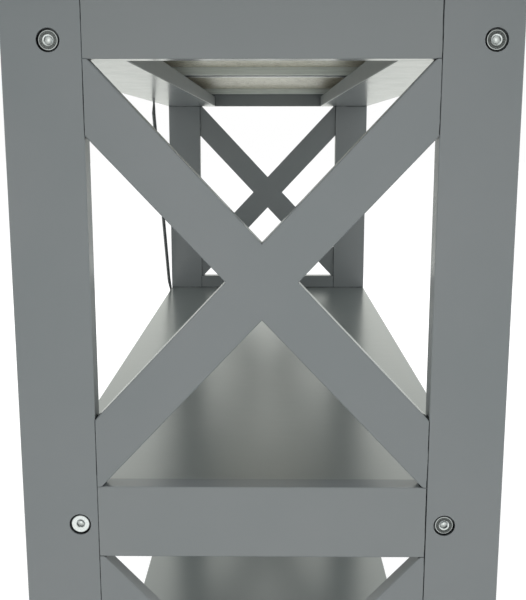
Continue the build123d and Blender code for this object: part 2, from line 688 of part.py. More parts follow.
# ---------------------------------------------------------------- back braces
def make_brace(side):
    """One diagonal rod behind the table, pressed flat and screwed at both ends."""
    head, foot = brace_ends(side)
    run = (foot - head).normalized()
    neck = ROD_TAB_LENGTH + ROD_FLATTEN
    axis_head = head + Vector(0, ROD_R, 0)
    spread = math.hypot(ROD_TAB_WIDTH / 2, ROD_R - ROD_TAB_T / 2)
    with BuildPart() as brace:
        # the rod's end spreads as a cone, pressed between the board and a sloping flat
        with BuildSketch(Plane(origin=axis_head + run * neck, z_dir=run)):
            Circle(ROD_R)
        with BuildSketch(Plane(origin=axis_head + run * ROD_TAB_LENGTH, z_dir=run)):
            Circle(spread)
        loft()
        with BuildSketch(Plane(origin=head, x_dir=run, z_dir=run.cross(Vector(0, 1, 0)))):
            with BuildLine():
                Polyline(
                    (ROD_TAB_LENGTH, 0),
                    (neck, 0),
                    (neck, 2 * ROD_R),
                    (ROD_TAB_LENGTH, ROD_TAB_T),
                    close=True,
                )
            make_face()
        extrude(amount=spread, both=True, mode=Mode.INTERSECT)
        # the rod itself, to its middle
        with BuildSketch(Plane(origin=axis_head + run * neck, z_dir=run)):
            Circle(ROD_R)
        extrude(amount=(foot - head).length / 2 - neck)
        # the flat tab, rounded about its screw
        with BuildSketch(Plane(origin=head, x_dir=run, z_dir=(0, 1, 0))):
            Circle(ROD_TAB_WIDTH / 2)
            Rectangle(ROD_TAB_LENGTH, ROD_TAB_WIDTH, align=(Align.MIN, Align.CENTER))
            Circle(SCREW_R, mode=Mode.SUBTRACT)
        extrude(amount=ROD_TAB_T)
        mirror(about=Plane(origin=(head + foot) * 0.5, z_dir=run))
    return brace


for side_name, side in SIDES.items():
    save(make_brace(side), f"{side_name}_back_brace")


# ---------------------------------------------------------------- fasteners
# Each fastener is made once, upright at the origin, and copied to its places.
with BuildPart() as bolt:
    with BuildSketch():
        Circle(BOLT_HEAD_R)
    extrude(amount=BOLT_HEAD_H)
    chamfer(bolt.faces().sort_by(Axis.Z)[-1].edges(), BOLT_HEAD_EASE)
    with BuildSketch():
        Circle(BOLT_R)
    extrude(amount=-BOLT_LENGTH)
    with BuildSketch(Plane.XY.offset(BOLT_HEAD_H)):
        RegularPolygon(BOLT_SOCKET / 2, 6, major_radius=False)
    extrude(amount=-BOLT_SOCKET_DEPTH, mode=Mode.SUBTRACT)

with BuildPart() as frame_bolts:
    with Locations(*bolt_seats()):
        add(bolt.part)
save(frame_bolts, "frame_bolts")

with BuildPart() as barrel_nut:
    Cylinder(NUT_R, NUT_LENGTH)
    with Locations(Plane(origin=(NUT_R, 0, 0), z_dir=(1, 0, 0))):
        Hole(BOLT_R)

with BuildPart() as barrel_nuts:
    with Locations(*[nut_plane(side, y, z).location for side in (-1, 1) for y, z in bolt_rows()]):
        add(barrel_nut.part)
save(barrel_nuts, "barrel_nuts")

with BuildPart() as dowels:
    with Locations(*dowel_locations()):
        Cylinder(DOWEL_R, DOWEL_LENGTH, align=(Align.CENTER, Align.CENTER, Align.MIN))
save(dowels, "dowels")

with BuildPart() as bar_dowels:
    with Locations(*bar_dowel_locations(-1), *bar_dowel_locations(1)):
        Cylinder(BAR_DOWEL_R, BAR_DOWEL_LENGTH)
save(bar_dowels, "bar_dowels")

# Cams lie in the top rails' inner faces and clamp the posts that hang from the top.
with BuildPart() as cam:
    with BuildSketch():
        Circle(CAM_R)
    extrude(amount=-CAM_DEPTH)
    with BuildSketch():
        Rectangle(CAM_SLOT_LENGTH, CAM_SLOT_WIDTH)
    extrude(amount=-CAM_SLOT_DEPTH, mode=Mode.SUBTRACT)
    with Locations(Plane(origin=(0, CAM_R, -CAM_DEPTH / 2), z_dir=(0, 1, 0))):
        Hole(CAM_POST_R, CAM_R)

with BuildPart() as top_cams:
    with Locations(*cam_seats()):
        add(cam.part)
save(top_cams, "top_cams")

with BuildPart() as top_posts:
    with Locations(*[Location(place) for place in cam_post_tops()]):
        Cylinder(CAM_POST_R, CAM_DROP, align=(Align.CENTER, Align.CENTER, Align.MAX))
        Cylinder(CAM_POST_R, CAM_POST_IN_TOP, align=(Align.CENTER, Align.CENTER, Align.MIN))
save(top_posts, "top_posts")

with BuildPart() as wood_screw:
    with BuildSketch():
        Circle(SCREW_HEAD_R)
    extrude(amount=SCREW_HEAD_H)
    with BuildSketch():
        Circle(SCREW_R)
    extrude(amount=-SCREW_LENGTH)

with BuildPart() as runner_screws:
    with Locations(*runner_screw_seats()):
        add(wood_screw.part)
save(runner_screws, "runner_screws")

with BuildPart() as brace_screws:
    with Locations(*brace_screw_seats()):
        add(wood_screw.part)
save(brace_screws, "brace_screws")

with BuildPart() as glide:
    with BuildSketch():
        Circle(GLIDE_R)
    extrude(amount=GLIDE_H)
    chamfer(glide.faces().sort_by(Axis.Z)[0].edges(), GLIDE_EASE)

with BuildPart() as foot_glides:
    leg_x = HALF_LENGTH - BOARD_T / 2
    with Locations(*[(side * leg_x, row * LEG_Y) for side in (-1, 1) for row in (-1, 1)]):
        add(glide.part)
save(foot_glides, "foot_glides")
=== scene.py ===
"""Looks of a grey console table with crossed end frames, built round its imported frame."""

import logging
import math
from dataclasses import dataclass, field
from enum import Enum
from typing import Sequence

import bmesh
import bpy
from mathutils import Matrix, Vector


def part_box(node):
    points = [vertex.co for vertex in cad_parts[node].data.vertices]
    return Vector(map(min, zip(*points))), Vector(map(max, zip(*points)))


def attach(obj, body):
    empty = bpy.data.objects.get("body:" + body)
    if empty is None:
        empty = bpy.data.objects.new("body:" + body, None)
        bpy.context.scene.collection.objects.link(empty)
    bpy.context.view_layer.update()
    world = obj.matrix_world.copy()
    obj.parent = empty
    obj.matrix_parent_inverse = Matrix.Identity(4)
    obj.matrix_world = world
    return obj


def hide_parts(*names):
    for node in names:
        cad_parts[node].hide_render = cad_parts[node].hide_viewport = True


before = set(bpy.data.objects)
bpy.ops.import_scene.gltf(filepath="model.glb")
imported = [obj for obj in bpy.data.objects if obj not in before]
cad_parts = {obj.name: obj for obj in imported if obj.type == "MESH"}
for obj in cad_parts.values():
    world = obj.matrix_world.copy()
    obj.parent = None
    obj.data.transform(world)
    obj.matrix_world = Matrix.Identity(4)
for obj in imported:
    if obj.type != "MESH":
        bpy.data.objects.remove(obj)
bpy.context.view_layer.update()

LOG = logging.getLogger("console_table")
MM = 0.001
Colour = tuple[float, float, float, float]
Stretch = tuple[float, float, float]
Socket = bpy.types.NodeSocket
WHITE: Colour = (1.0, 1.0, 1.0, 1.0)
TOUCH = 0.1 * MM  # how near a corner is to the face that it stands on
RELIEF = 0.1 * MM  # how deep a bump of height one is
FACE_TONE_LIMIT = 0.5  # rings darker than this belong to a head's face
WIDE_SWING = (0.3, 0.7)  # the span that a noise's value hardly leaves
NARROW_SWING = (0.35, 0.65)  # the span that it mostly keeps to


# ---------------------------------------------------------------- names
class Body(str, Enum):
    """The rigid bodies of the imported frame."""

    TABLE = "table"
    LEFT_DRAWER = "left_drawer"
    RIGHT_DRAWER = "right_drawer"


class Slot(str, Enum):
    """Names of two of the record's material slots."""

    ZINC = "zinc_steel"
    KNOB = "knob_metal"


class Side(str, Enum):
    """The two ends of the table, by the names that its nodes carry."""

    LEFT = "left"
    RIGHT = "right"


class Grain(Enum):
    """Which way a board's fibres run, as (name, texture scale along X, Y and Z)."""

    ALONG_X = ("along_x", (0.05, 1.0, 1.0))
    ALONG_Y = ("along_y", (1.0, 0.05, 1.0))
    ALONG_Z = ("along_z", (1.0, 1.0, 0.05))

    @property
    def label(self) -> str:
        """The grain's short name."""
        return self.value[0]

    @property
    def scale(self) -> Stretch:
        """Texture scale per axis: small along the fibres."""
        return self.value[1]


def srgb(red: int, green: int, blue: int) -> Colour:
    """Turn an sRGB colour in 0 to 255 into the linear colour that shaders take.

    Args:
        red: Red channel.
        green: Green channel.
        blue: Blue channel.

    Returns:
        The linear colour with an alpha of one.
    """

    def linear(channel: int) -> float:
        """Undo the sRGB curve for one channel."""
        value = channel / 255.0
        return value / 12.92 if value <= 0.04045 else ((value + 0.055) / 1.055) ** 2.4

    return linear(red), linear(green), linear(blue), 1.0


# ---------------------------------------------------------------- shader graphs
@dataclass
class NodeGraph:
    """A small helper that adds and joins shader nodes in one tree."""

    tree: bpy.types.NodeTree

    def add(self, kind: str, **values: object) -> bpy.types.Node:
        """Add a node and set its inputs or properties by name.

        Args:
            kind: The node's Blender type name.
            **values: Input names (spaces as underscores) or node properties.

        Returns:
            The new node.
        """
        node = self.tree.nodes.new(kind)
        for key, value in values.items():
            socket = node.inputs.get(key.replace("_", " "))
            if socket is not None:
                socket.default_value = value
            else:
                setattr(node, key, value)
        return node

    def join(self, source: Socket, target: Socket) -> None:
        """Link an output socket to an input socket."""
        self.tree.links.new(source, target)

    def position(self) -> Socket:
        """The object-space position, which moves with the piece."""
        return self.add("ShaderNodeTexCoord").outputs["Object"]

    def noise(
        self, scale: float, detail: float, roughness: float = 0.5, stretch: Stretch | None = None
    ) -> Socket:
        """A noise texture's value at the object-space position.

        Args:
            scale: Cells per metre.
            detail: Octaves.
            roughness: Share that each octave keeps.
            stretch: Scale of the position along X, Y and Z, small along fibres.

        Returns:
            The value, around one half.
        """
        place = self.position()
        if stretch is not None:
            mapping = self.add("ShaderNodeMapping", Scale=stretch)
            self.join(place, mapping.inputs["Vector"])
            place = mapping.outputs["Vector"]
        node = self.add("ShaderNodeTexNoise", Scale=scale, Detail=detail, Roughness=roughness)
        self.join(place, node.inputs["Vector"])
        return node.outputs["Fac"]

    def rings(self, radius: Socket, pitch: float) -> Socket:
        """Uneven turning marks that follow the distance from an axis.

        Args:
            radius: Distance from the axis in metres.
            pitch: Mean spacing of the marks in metres.

        Returns:
            The mark's height, around one half.
        """
        node = self.add("ShaderNodeTexNoise", noise_dimensions="1D", Scale=1.0 / pitch, Detail=3.0)
        self.join(radius, node.inputs["W"])
        return node.outputs["Fac"]

    def attribute(self, name: str) -> Socket:
        """A float attribute of the mesh."""
        return self.add("ShaderNodeAttribute", attribute_name=name).outputs["Fac"]

    def axis(self, vector: Socket, letter: str) -> Socket:
        """One component of a vector.

        Args:
            vector: The vector.
            letter: X, Y or Z.

        Returns:
            The component.
        """
        node = self.add("ShaderNodeSeparateXYZ")
        self.join(vector, node.inputs[0])
        return node.outputs[letter]

    def facing(self, letter: str) -> Socket:
        """The true normal's component along an axis."""
        return self.axis(self.add("ShaderNodeNewGeometry").outputs["True Normal"], letter)

    def maths(self, operation: str, first: Socket, second: Socket | float = 0.0) -> Socket:
        """Combine two values, or change one.

        Args:
            operation: The Math node's operation.
            first: First value.
            second: Second value, linked or constant, where the operation takes one.

        Returns:
            The result.
        """
        node = self.add("ShaderNodeMath", operation=operation)
        self.join(first, node.inputs[0])
        if isinstance(second, Socket):
            self.join(second, node.inputs[1])
        else:
            node.inputs[1].default_value = second
        return node.outputs[0]

    def remap(
        self, value: Socket, low: float, high: float, to_low: float, to_high: float
    ) -> Socket:
        """Map a value from one range to another, clamped.

        Args:
            value: The value.
            low: Where its own range starts.
            high: Where its own range ends.
            to_low: What the range's start becomes.
            to_high: What the range's end becomes.

        Returns:
            The mapped value.
        """
        limits = {"From_Min": low, "From_Max": high, "To_Min": to_low, "To_Max": to_high}
        node = self.add("ShaderNodeMapRange", **limits)
        self.join(value, node.inputs["Value"])
        return node.outputs["Result"]

    def blend(self, factor: Socket, first: Socket | Colour, second: Socket | Colour) -> Socket:
        """Blend two colours.

        Args:
            factor: Share of the second colour.
            first: First colour, linked or constant.
            second: Second colour, linked or constant.

        Returns:
            The blended colour.
        """
        node = self.add("ShaderNodeMix", data_type="RGBA")
        self.join(factor, node.inputs[0])
        # the node's colours come in at 6 and 7, after those for plain numbers and vectors
        for index, colour in ((6, first), (7, second)):
            if isinstance(colour, Socket):
                self.join(colour, node.inputs[index])
            else:
                node.inputs[index].default_value = colour
        return node.outputs[2]

    def bump(
        self,
        height: Socket,
        strength: float,
        distance: float = RELIEF,
        normal: Socket | None = None,
    ) -> Socket:
        """Turn a height into a bumped normal.

        Args:
            height: The height value.
            strength: Share of the bump that is used.
            distance: Metres that a height of one stands for.
            normal: A normal to build on.

        Returns:
            The bumped normal.
        """
        node = self.add("ShaderNodeBump", Strength=strength, Distance=distance)
        self.join(height, node.inputs["Height"])
        if normal is not None:
            self.join(normal, node.inputs["Normal"])
        return node.outputs["Normal"]

    def crevice(self, reach: float) -> Socket:
        """How open the surface is within a short reach: one on a flat, less in a groove."""
        return self.add("ShaderNodeAmbientOcclusion", Distance=reach, samples=8).outputs["AO"]

    def uneven(self, pattern: Socket, middle: float, less: float, more: float) -> Socket:
        """Let a pattern move a roughness a little.

        Args:
            pattern: A noise's value.
            middle: The finish's roughness.
            less: How much the pattern's low end takes off it.
            more: How much the pattern's high end adds to it.

        Returns:
            The roughness.
        """
        return self.remap(pattern, *WIDE_SWING, middle - less, middle + more)


@dataclass
class Surface(NodeGraph):
    """The nodes of one material, with the Principled shader that they feed."""

    material: bpy.types.Material
    shader: bpy.types.Node

    def give(self, **values: Socket | float) -> None:
        """Join or set the shader's inputs.

        Args:
            **values: A linked or constant value for each input (spaces as underscores).
        """
        for key, value in values.items():
            target = self.shader.inputs[key.replace("_", " ")]
            if isinstance(value, Socket):
                self.join(value, target)
            else:
                target.default_value = value


def new_surface(name: str) -> Surface:
    """Make a material with one Principled shader and nothing joined to it.

    Args:
        name: The material's name.

    Returns:
        The surface that draws the material.
    """
    material = bpy.data.materials.new(name)
    material.use_nodes = True
    material.node_tree.nodes.clear()
    graph = NodeGraph(material.node_tree)
    shader = graph.add("ShaderNodeBsdfPrincipled")
    graph.join(shader.outputs["BSDF"], graph.add("ShaderNodeOutputMaterial").inputs["Surface"])
    return Surface(material.node_tree, material, shader)


# ---------------------------------------------------------------- finishes
@dataclass(frozen=True)
class GreyPaint:
    """Sprayed satin grey lacquer that bridges the joints between boards here and there, with
    painted shade in its grooves and inner corners.
    """

    name: str = "grey_paint"
    base: Colour = srgb(111, 117, 119)
    pale: Colour = srgb(114, 119, 121)
    # colour of the painted shade in grooves, joints and inner corners
    seam_shade: Colour = srgb(10, 12, 14)
    roughness: float = 0.2
    ior: float = 1.7
    # how far the occlusion looks for the painted shade, and the openness at which that shade is
    # full and at which it ends
    seam_reach: float = 1.5 * MM
    seam_open: float = 0.65
    seam_shut: float = 0.92
    bridge_scale: float = 70.0
    bridge_span: tuple[float, float] = (0.36, 0.6)
    bridged: float = 0.2
    cloud_scale: float = 11.0
    sheen_scale: float = 35.0
    peel_scale: float = 650.0
    peel: float = 0.06
    fibre_scale: float = 240.0
    fibre: float = 0.05

    def gap_shade(self, surface: Surface) -> Socket:
        """Where shade is painted: in the grooves between boards and in inner corners, as the
        occlusion finds them, broken here and there where the paint bridges a joint.

        Args:
            surface: The paint's surface.

        Returns:
            One where shade is painted, zero on the open film.
        """
        depth = surface.crevice(self.seam_reach)
        groove = surface.remap(depth, self.seam_open, self.seam_shut, 1.0, 0.0)
        patches = surface.noise(self.bridge_scale, 3.0, 0.6)
        bridge = surface.remap(patches, *self.bridge_span, self.bridged, 1.0)
        return surface.maths("MULTIPLY", groove, bridge)

    def film(self, surface: Surface) -> None:
        """Colour the film: even, and dark without gloss where shade is painted in the grooves.

        Args:
            surface: The paint's surface.
        """
        cloud = surface.remap(surface.noise(self.cloud_scale, 2.0), *NARROW_SWING, 0.0, 1.0)
        even = surface.blend(cloud, self.base, self.pale)
        # painted shade: grooves, joints and inner corners turn near black and lose their gloss
        gap_shade = self.gap_shade(surface)
        surface.give(
            Base_Color=surface.blend(gap_shade, even, self.seam_shade),
            Specular_Tint=surface.blend(gap_shade, WHITE, self.seam_shade),
            IOR=self.ior,
        )

    def gloss(self, surface: Surface) -> Socket:
        """The film's roughness, a little uneven.

        Args:
            surface: The paint's surface.

        Returns:
            The roughness.
        """
        sheen = surface.noise(self.sheen_scale, 3.0, 0.55)
        return surface.uneven(sheen, self.roughness, 0.015, 0.02)

    def make(self, grain: Grain) -> bpy.types.Material:
        """Build the paint for boards whose fibres run along one axis.

        Args:
            grain: The fibres' direction.

        Returns:
            The material.
        """
        surface = new_surface(f"{self.name}_{grain.label}")
        self.film(surface)
        peel = surface.bump(surface.noise(self.peel_scale, 2.0), self.peel)
        fibres = surface.noise(self.fibre_scale, 3.0, stretch=grain.scale)
        normal = surface.bump(fibres, self.fibre, normal=peel)
        surface.give(Roughness=self.gloss(surface), Normal=normal)
        return surface.material


def shoulder() -> float:
    """How far from the table's middle plane the legs' inner edges stand."""
    return abs(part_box("left_front_leg")[1].y)


def joint_heights() -> list[tuple[float, float]]:
    """The height ranges in which rails and bar ends stand against a leg.

    Returns:
        The lowest and highest height for each rail with the bar ends next to it, floor up.
    """
    boxes = [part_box(f"left_{rail}_rail") for rail in ("low", "mid", "top")]
    ranges = [[low.z, high.z] for low, high in boxes]
    edge = shoulder()
    for below, above, bay in zip(ranges, ranges[1:], ("lower", "upper")):
        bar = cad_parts[f"left_{bay}_front_bar"].data
        spots = [vertex.co for vertex in bar.vertices]
        ends = [spot.z for spot in spots if abs(abs(spot.y) - edge) < TOUCH]
        middle = (below[1] + above[0]) / 2.0
        below[1] = max([height for height in ends if height < middle], default=below[1])
        above[0] = min([height for height in ends if height > middle], default=above[0])
    return [(low, high) for low, high in ranges]


@dataclass(frozen=True)
class FramePaint(GreyPaint):
    """The lacquer on the end frames, with painted lines of shade where rails and bars stand
    against the legs.
    """

    name: str = "end_frame_paint"
    gap_shade_width: float = 1.0 * MM
    narrowest: float = 0.15
    back_share: float = 0.5
    back_start: float = 10.0 * MM
    wander_scale: float = 32.0
    upright: float = 0.9

    def gap_shade(self, surface: Surface) -> Socket:
        """Add painted lines of shade beside the legs to the grooves' own painted shade.

        Args:
            surface: The paint's surface.

        Returns:
            One where shade is painted, zero on the open film.
        """
        # painted shade: a dark line of wandering width along each leg's inner edge, on faces
        # across X, at the heights where rails and bar ends meet the leg, half as wide at the back
        depth = surface.axis(surface.position(), "Y")
        offset = surface.maths("SUBTRACT", surface.maths("ABSOLUTE", depth), shoulder())
        wander = surface.noise(self.wander_scale, 4.0, 0.7)
        width = surface.remap(wander, *self.bridge_span, self.narrowest, 1.0)
        share = surface.remap(depth, -self.back_start, self.back_start, 1.0, self.back_share)
        width = surface.maths("MULTIPLY", width, share)
        half = surface.maths("MULTIPLY", width, self.gap_shade_width / 2.0)
        line = surface.maths("LESS_THAN", surface.maths("ABSOLUTE", offset), half)
        across = surface.maths("ABSOLUTE", surface.facing("X"))
        on_face = surface.maths("GREATER_THAN", across, self.upright)
        line = surface.maths("MULTIPLY", line, on_face)
        height = surface.axis(surface.position(), "Z")
        gap_shade = super().gap_shade(surface)
        for low, high in joint_heights():
            away = surface.maths("SUBTRACT", height, (low + high) / 2.0)
            away = surface.maths("ABSOLUTE", away)
            inside = surface.maths("LESS_THAN", away, (high - low) / 2.0)
            gap_shade = surface.maths("MAXIMUM", gap_shade, surface.maths("MULTIPLY", line, inside))
        return gap_shade


@dataclass(frozen=True)
class LegPaint(FramePaint):
    """The same lacquer on the upright boards, whose film lies thinner and a little duller, in a
    slightly lighter copy of its colour: painted light on the legs and bars.
    """

    # a little lighter than the lacquer's own colour: painted light
    base: Colour = srgb(116, 122, 124)
    pale: Colour = srgb(119, 124, 126)
    roughness: float = 0.25
    ior: float = 1.55


@dataclass(frozen=True)
class LongRailPaint(GreyPaint):
    """The same lacquer on the long rails, dull on the sawn edges, where the board drinks it."""

    name: str = "long_rail_paint"
    edge_dulling: float = 0.35
    edge_turn: tuple[float, float] = (0.6, 0.9)

    def gloss(self, surface: Surface) -> Socket:
        """Add the dull edges, which face along Y, to the film's roughness.

        Args:
            surface: The paint's surface.

        Returns:
            The roughness.
        """
        facing = surface.maths("ABSOLUTE", surface.facing("Y"))
        edge = surface.remap(facing, *self.edge_turn, 0.0, self.edge_dulling)
        return surface.maths("ADD", super().gloss(surface), edge)


@dataclass(frozen=True)
class ShelfPaint(GreyPaint):
    """The same lacquer on the shelves, rubbed across so that its gloss smears lengthwise, in a
    darker copy of its colour: painted shade on the shelves.
    """

    name: str = "grey_paint_rubbed_shaded"
    # darker than the lacquer's own colour: painted shade
    base: Colour = srgb(88, 96, 95)
    pale: Colour = srgb(91, 98, 97)
    roughness: float = 0.3
    smear: float = 0.6
    ior: float = 1.5
    wax: float = 1.0
    wax_roughness: float = 0.26
    wax_ior: float = 1.85
    rub_scale: float = 520.0
    rub: float = 0.01

    def make(self, grain: Grain) -> bpy.types.Material:
        """Build the shelf paint.

        Args:
            grain: The direction of the rubbing marks.

        Returns:
            The material.
        """
        surface = new_surface(self.name)
        self.film(surface)
        rub = surface.noise(self.rub_scale, 3.0, 0.6, stretch=grain.scale)
        tangent = surface.add("ShaderNodeTangent", direction_type="RADIAL", axis="Y")
        surface.give(
            Roughness=surface.uneven(rub, self.roughness, 0.015, 0.015),
            Normal=surface.bump(rub, self.rub),
            Tangent=tangent.outputs["Tangent"],
            Anisotropic=self.smear,
            Coat_Weight=self.wax,
            Coat_Roughness=self.wax_roughness,
            Coat_IOR=self.wax_ior,
        )
        return surface.material


@dataclass(frozen=True)
class DrawerFoil:
    """Pale grey printed foil on the drawer boards, with fine darker print lines."""

    base: Colour = srgb(215, 222, 218)
    line: Colour = srgb(202, 209, 205)
    roughness: float = 0.28
    print_scale: float = 420.0
    wear_scale: float = 14.0

    def make(self) -> bpy.types.Material:
        """Build the foil, whose print runs along Y.

        Returns:
            The material.
        """
        surface = new_surface("drawer_foil")
        lines = surface.noise(self.print_scale, 5.0, 0.6, stretch=Grain.ALONG_Y.scale)
        worn = surface.noise(self.wear_scale, 2.0)
        shade = surface.remap(surface.maths("ADD", lines, worn), 0.85, 1.2, 1.0, 0.0)
        surface.give(
            Base_Color=surface.blend(shade, self.base, self.line),
            Roughness=surface.uneven(lines, self.roughness, 0.05, 0.06),
            Normal=surface.bump(lines, 0.1),
        )
        return surface.material


@dataclass(frozen=True)
class Hardboard:
    """Pressed fibreboard, mottled grey-brown, smooth above and screen-marked beneath."""

    dark: Colour = srgb(196, 191, 171)
    light: Colour = srgb(210, 206, 187)
    roughness: float = 0.28
    fibre_stretch: Stretch = (1.0, 0.3, 1.0)
    fibre_scale: float = 420.0
    mottle_scale: float = 60.0
    screen_pitch: float = 1.6 * MM

    def screen(self, surface: Surface) -> Socket:
        """The wire screen's print, pressed into the underside only.

        Args:
            surface: The board's surface.

        Returns:
            The print's height.
        """
        wires = []
        for letter in "XY":
            along = surface.axis(surface.position(), letter)
            turns = surface.maths("MULTIPLY", along, 2.0 * math.pi / self.screen_pitch)
            wires.append(surface.maths("SINE", turns))
        beneath = surface.remap(surface.facing("Z"), -0.9, -0.5, 1.0, 0.0)
        return surface.maths("MULTIPLY", surface.maths("MULTIPLY", *wires), beneath)

    def make(self) -> bpy.types.Material:
        """Build the fibreboard material.

        Returns:
            The material.
        """
        surface = new_surface("hardboard")
        fibre = surface.noise(self.fibre_scale, 6.0, 0.68, stretch=self.fibre_stretch)
        mottle = surface.noise(self.mottle_scale, 3.0)
        shade = surface.remap(surface.maths("ADD", fibre, mottle), 0.75, 1.25, 0.0, 1.0)
        normal = surface.bump(self.screen(surface), 0.08, normal=surface.bump(fibre, 0.1))
        surface.give(
            Base_Color=surface.blend(shade, self.dark, self.light),
            Roughness=surface.uneven(fibre, self.roughness, 0.06, 0.1),
            Normal=normal,
        )
        return surface.material


@dataclass(frozen=True)
class Beech:
    """Unfinished beech with fine grain and short dark flecks along Y."""

    dark: Colour = srgb(178, 136, 94)
    light: Colour = srgb(208, 170, 126)
    fleck: Colour = srgb(136, 92, 58)
    roughness: float = 0.6
    grain_scale: float = 220.0
    ray_stretch: Stretch = (1.0, 0.2, 1.0)
    ray_scale: float = 900.0

    def make(self) -> bpy.types.Material:
        """Build the beech material.

        Returns:
            The material.
        """
        surface = new_surface("beech")
        grain = surface.noise(self.grain_scale, 6.0, 0.6, stretch=Grain.ALONG_Y.scale)
        bands = surface.remap(grain, *NARROW_SWING, 0.0, 1.0)
        ray = surface.noise(self.ray_scale, 1.0, stretch=self.ray_stretch)
        flecks = surface.remap(ray, 0.66, 0.74, 0.0, 0.7)
        wood = surface.blend(bands, self.dark, self.light)
        surface.give(
            Base_Color=surface.blend(flecks, wood, self.fleck),
            Roughness=surface.uneven(grain, self.roughness, 0.06, 0.08),
            Normal=surface.bump(grain, 0.3, 0.3 * MM),
        )
        return surface.material


@dataclass(frozen=True)
class Metal:
    """A plain metal finish with stains and drawn micro-scratches."""

    name: str
    base: Colour
    dull: Colour
    roughness: float
    metallic: float = 1.0
    stain_scale: float = 240.0
    scratch_scale: float = 1800.0

    def make(self) -> bpy.types.Material:
        """Build the metal material.

        Returns:
            The material.
        """
        surface = new_surface(self.name)
        stain = surface.remap(surface.noise(self.stain_scale, 3.0), *NARROW_SWING, 0.0, 1.0)
        fine = surface.noise(self.scratch_scale, 3.0)
        surface.give(
            Base_Color=surface.blend(stain, self.base, self.dull),
            Roughness=surface.uneven(fine, self.roughness, 0.05, 0.08),
            Normal=surface.bump(fine, 0.1),
            Metallic=self.metallic,
        )
        return surface.material


@dataclass(frozen=True)
class TurnedMetal:
    """Turned metal whose marks circle each piece's own axis.

    The mesh carries two attributes: "reach", the distance from the axis, and "tone",
    painted light and shade, from zero where the metal is painted dark to one where it is painted
    bright.
    """

    name: str
    dark: Colour
    bright: Colour
    roughness: float
    mark_pitch: float = 0.35 * MM
    mark_depth: float = 0.05 * MM
    speck_scale: float = 1500.0
    mottle: float = 0.15

    def make(self) -> bpy.types.Material:
        """Build the turned metal material.

        Returns:
            The material.
        """
        surface = new_surface(self.name)
        marks = surface.rings(surface.attribute("reach"), self.mark_pitch)
        specks = surface.noise(self.speck_scale, 3.0, 0.6)
        both = surface.maths("ADD", marks, specks)
        mottled = surface.remap(both, 0.7, 1.3, -self.mottle, self.mottle)
        tone = surface.maths("ADD", surface.attribute("tone"), mottled)
        tone = surface.remap(tone, 0.0, 1.0, 0.0, 1.0)
        surface.give(
            Base_Color=surface.blend(tone, self.dark, self.bright),
            Roughness=surface.uneven(specks, self.roughness, 0.05, 0.08),
            Normal=surface.bump(marks, 0.15, self.mark_depth),
            Metallic=1.0,
        )
        return surface.material


@dataclass(frozen=True)
class GlidePlastic:
    """Matt black moulded plastic."""

    base: Colour = srgb(38, 38, 40)
    scuffed: Colour = srgb(52, 52, 54)
    roughness: float = 0.55
    grain_scale: float = 1500.0

    def make(self) -> bpy.types.Material:
        """Build the plastic material.

        Returns:
            The material.
        """
        surface = new_surface("glide_plastic")
        grain = surface.noise(self.grain_scale, 2.0)
        surface.give(
            Base_Color=surface.blend(grain, self.base, self.scuffed),
            Roughness=surface.uneven(grain, self.roughness, 0.05, 0.08),
            Normal=surface.bump(grain, 0.15),
        )
        return surface.material


class Finishes:
    """Every finish of the table, made once and shared by its pieces."""

    def __init__(self) -> None:
        """Make all the materials."""
        self.board_paint = GreyPaint().make(Grain.ALONG_X)
        self.partition_paint = GreyPaint().make(Grain.ALONG_Y)
        self.leg_paint = LegPaint().make(Grain.ALONG_Z)
        self.rail_paint = FramePaint().make(Grain.ALONG_Y)
        self.long_rail_paint = LongRailPaint().make(Grain.ALONG_X)
        self.shelf_paint = ShelfPaint().make(Grain.ALONG_Y)
        self.foil = DrawerFoil().make()
        self.hardboard = Hardboard().make()
        self.beech = Beech().make()
        self.zinc = Metal("zinc", srgb(186, 188, 188), srgb(158, 161, 162), 0.3).make()
        steel = Metal("dark_steel", srgb(92, 96, 97), srgb(66, 69, 71), 0.42, metallic=0.4)
        self.dark_steel = steel.make()
        self.bolt = TurnedMetal("bolt_steel", srgb(58, 61, 61), srgb(237, 241, 243), 0.28).make()
        self.knob = TurnedMetal("knob_metal", srgb(150, 147, 141), srgb(196, 193, 187), 0.3).make()
        self.plastic = GlidePlastic().make()


def dress(nodes: dict[str, bpy.types.Material]) -> list[str]:
    """Put a new material in every slot of each CAD node.

    Args:
        nodes: The CAD nodes' names with their new materials.

    Returns:
        The nodes' names.
    """
    for node, material in nodes.items():
        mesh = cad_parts[node].data
        if not mesh.materials:
            mesh.materials.append(material)
        for index in range(len(mesh.materials)):
            mesh.materials[index] = material
    return list(nodes)


# ---------------------------------------------------------------- turned pieces
@dataclass(frozen=True)
class Ring:
    """One round ring of a turned profile, in metres from the piece's own origin.

    Attributes:
        radius: Distance from the axis.
        height: Height along the axis.
        tone: Painted brightness there, from 0 to 1: the metal's painted light, shade and
            reflections.
        facet_shade: How much of the tone every second sixth of the ring loses.
    """

    radius: float
    height: float
    tone: float = 1.0
    facet_shade: float = 0.0

    def point(self, angle: float) -> tuple[float, float]:
        """The ring's radius and height at an angle."""
        return self.radius, self.height

    def tone_at(self, angle: float, face_tone: float) -> float:
        """The painted brightness at an angle.

        Args:
            angle: Angle round the axis in radians.
            face_tone: The least tone of the head's face, which the dark rings make.

        Returns:
            The tone.
        """
        tone = max(self.tone, face_tone) if self.tone < FACE_TONE_LIMIT else self.tone
        return tone - self.facet_shade * (0.5 + 0.5 * math.cos(angle * 3.0))


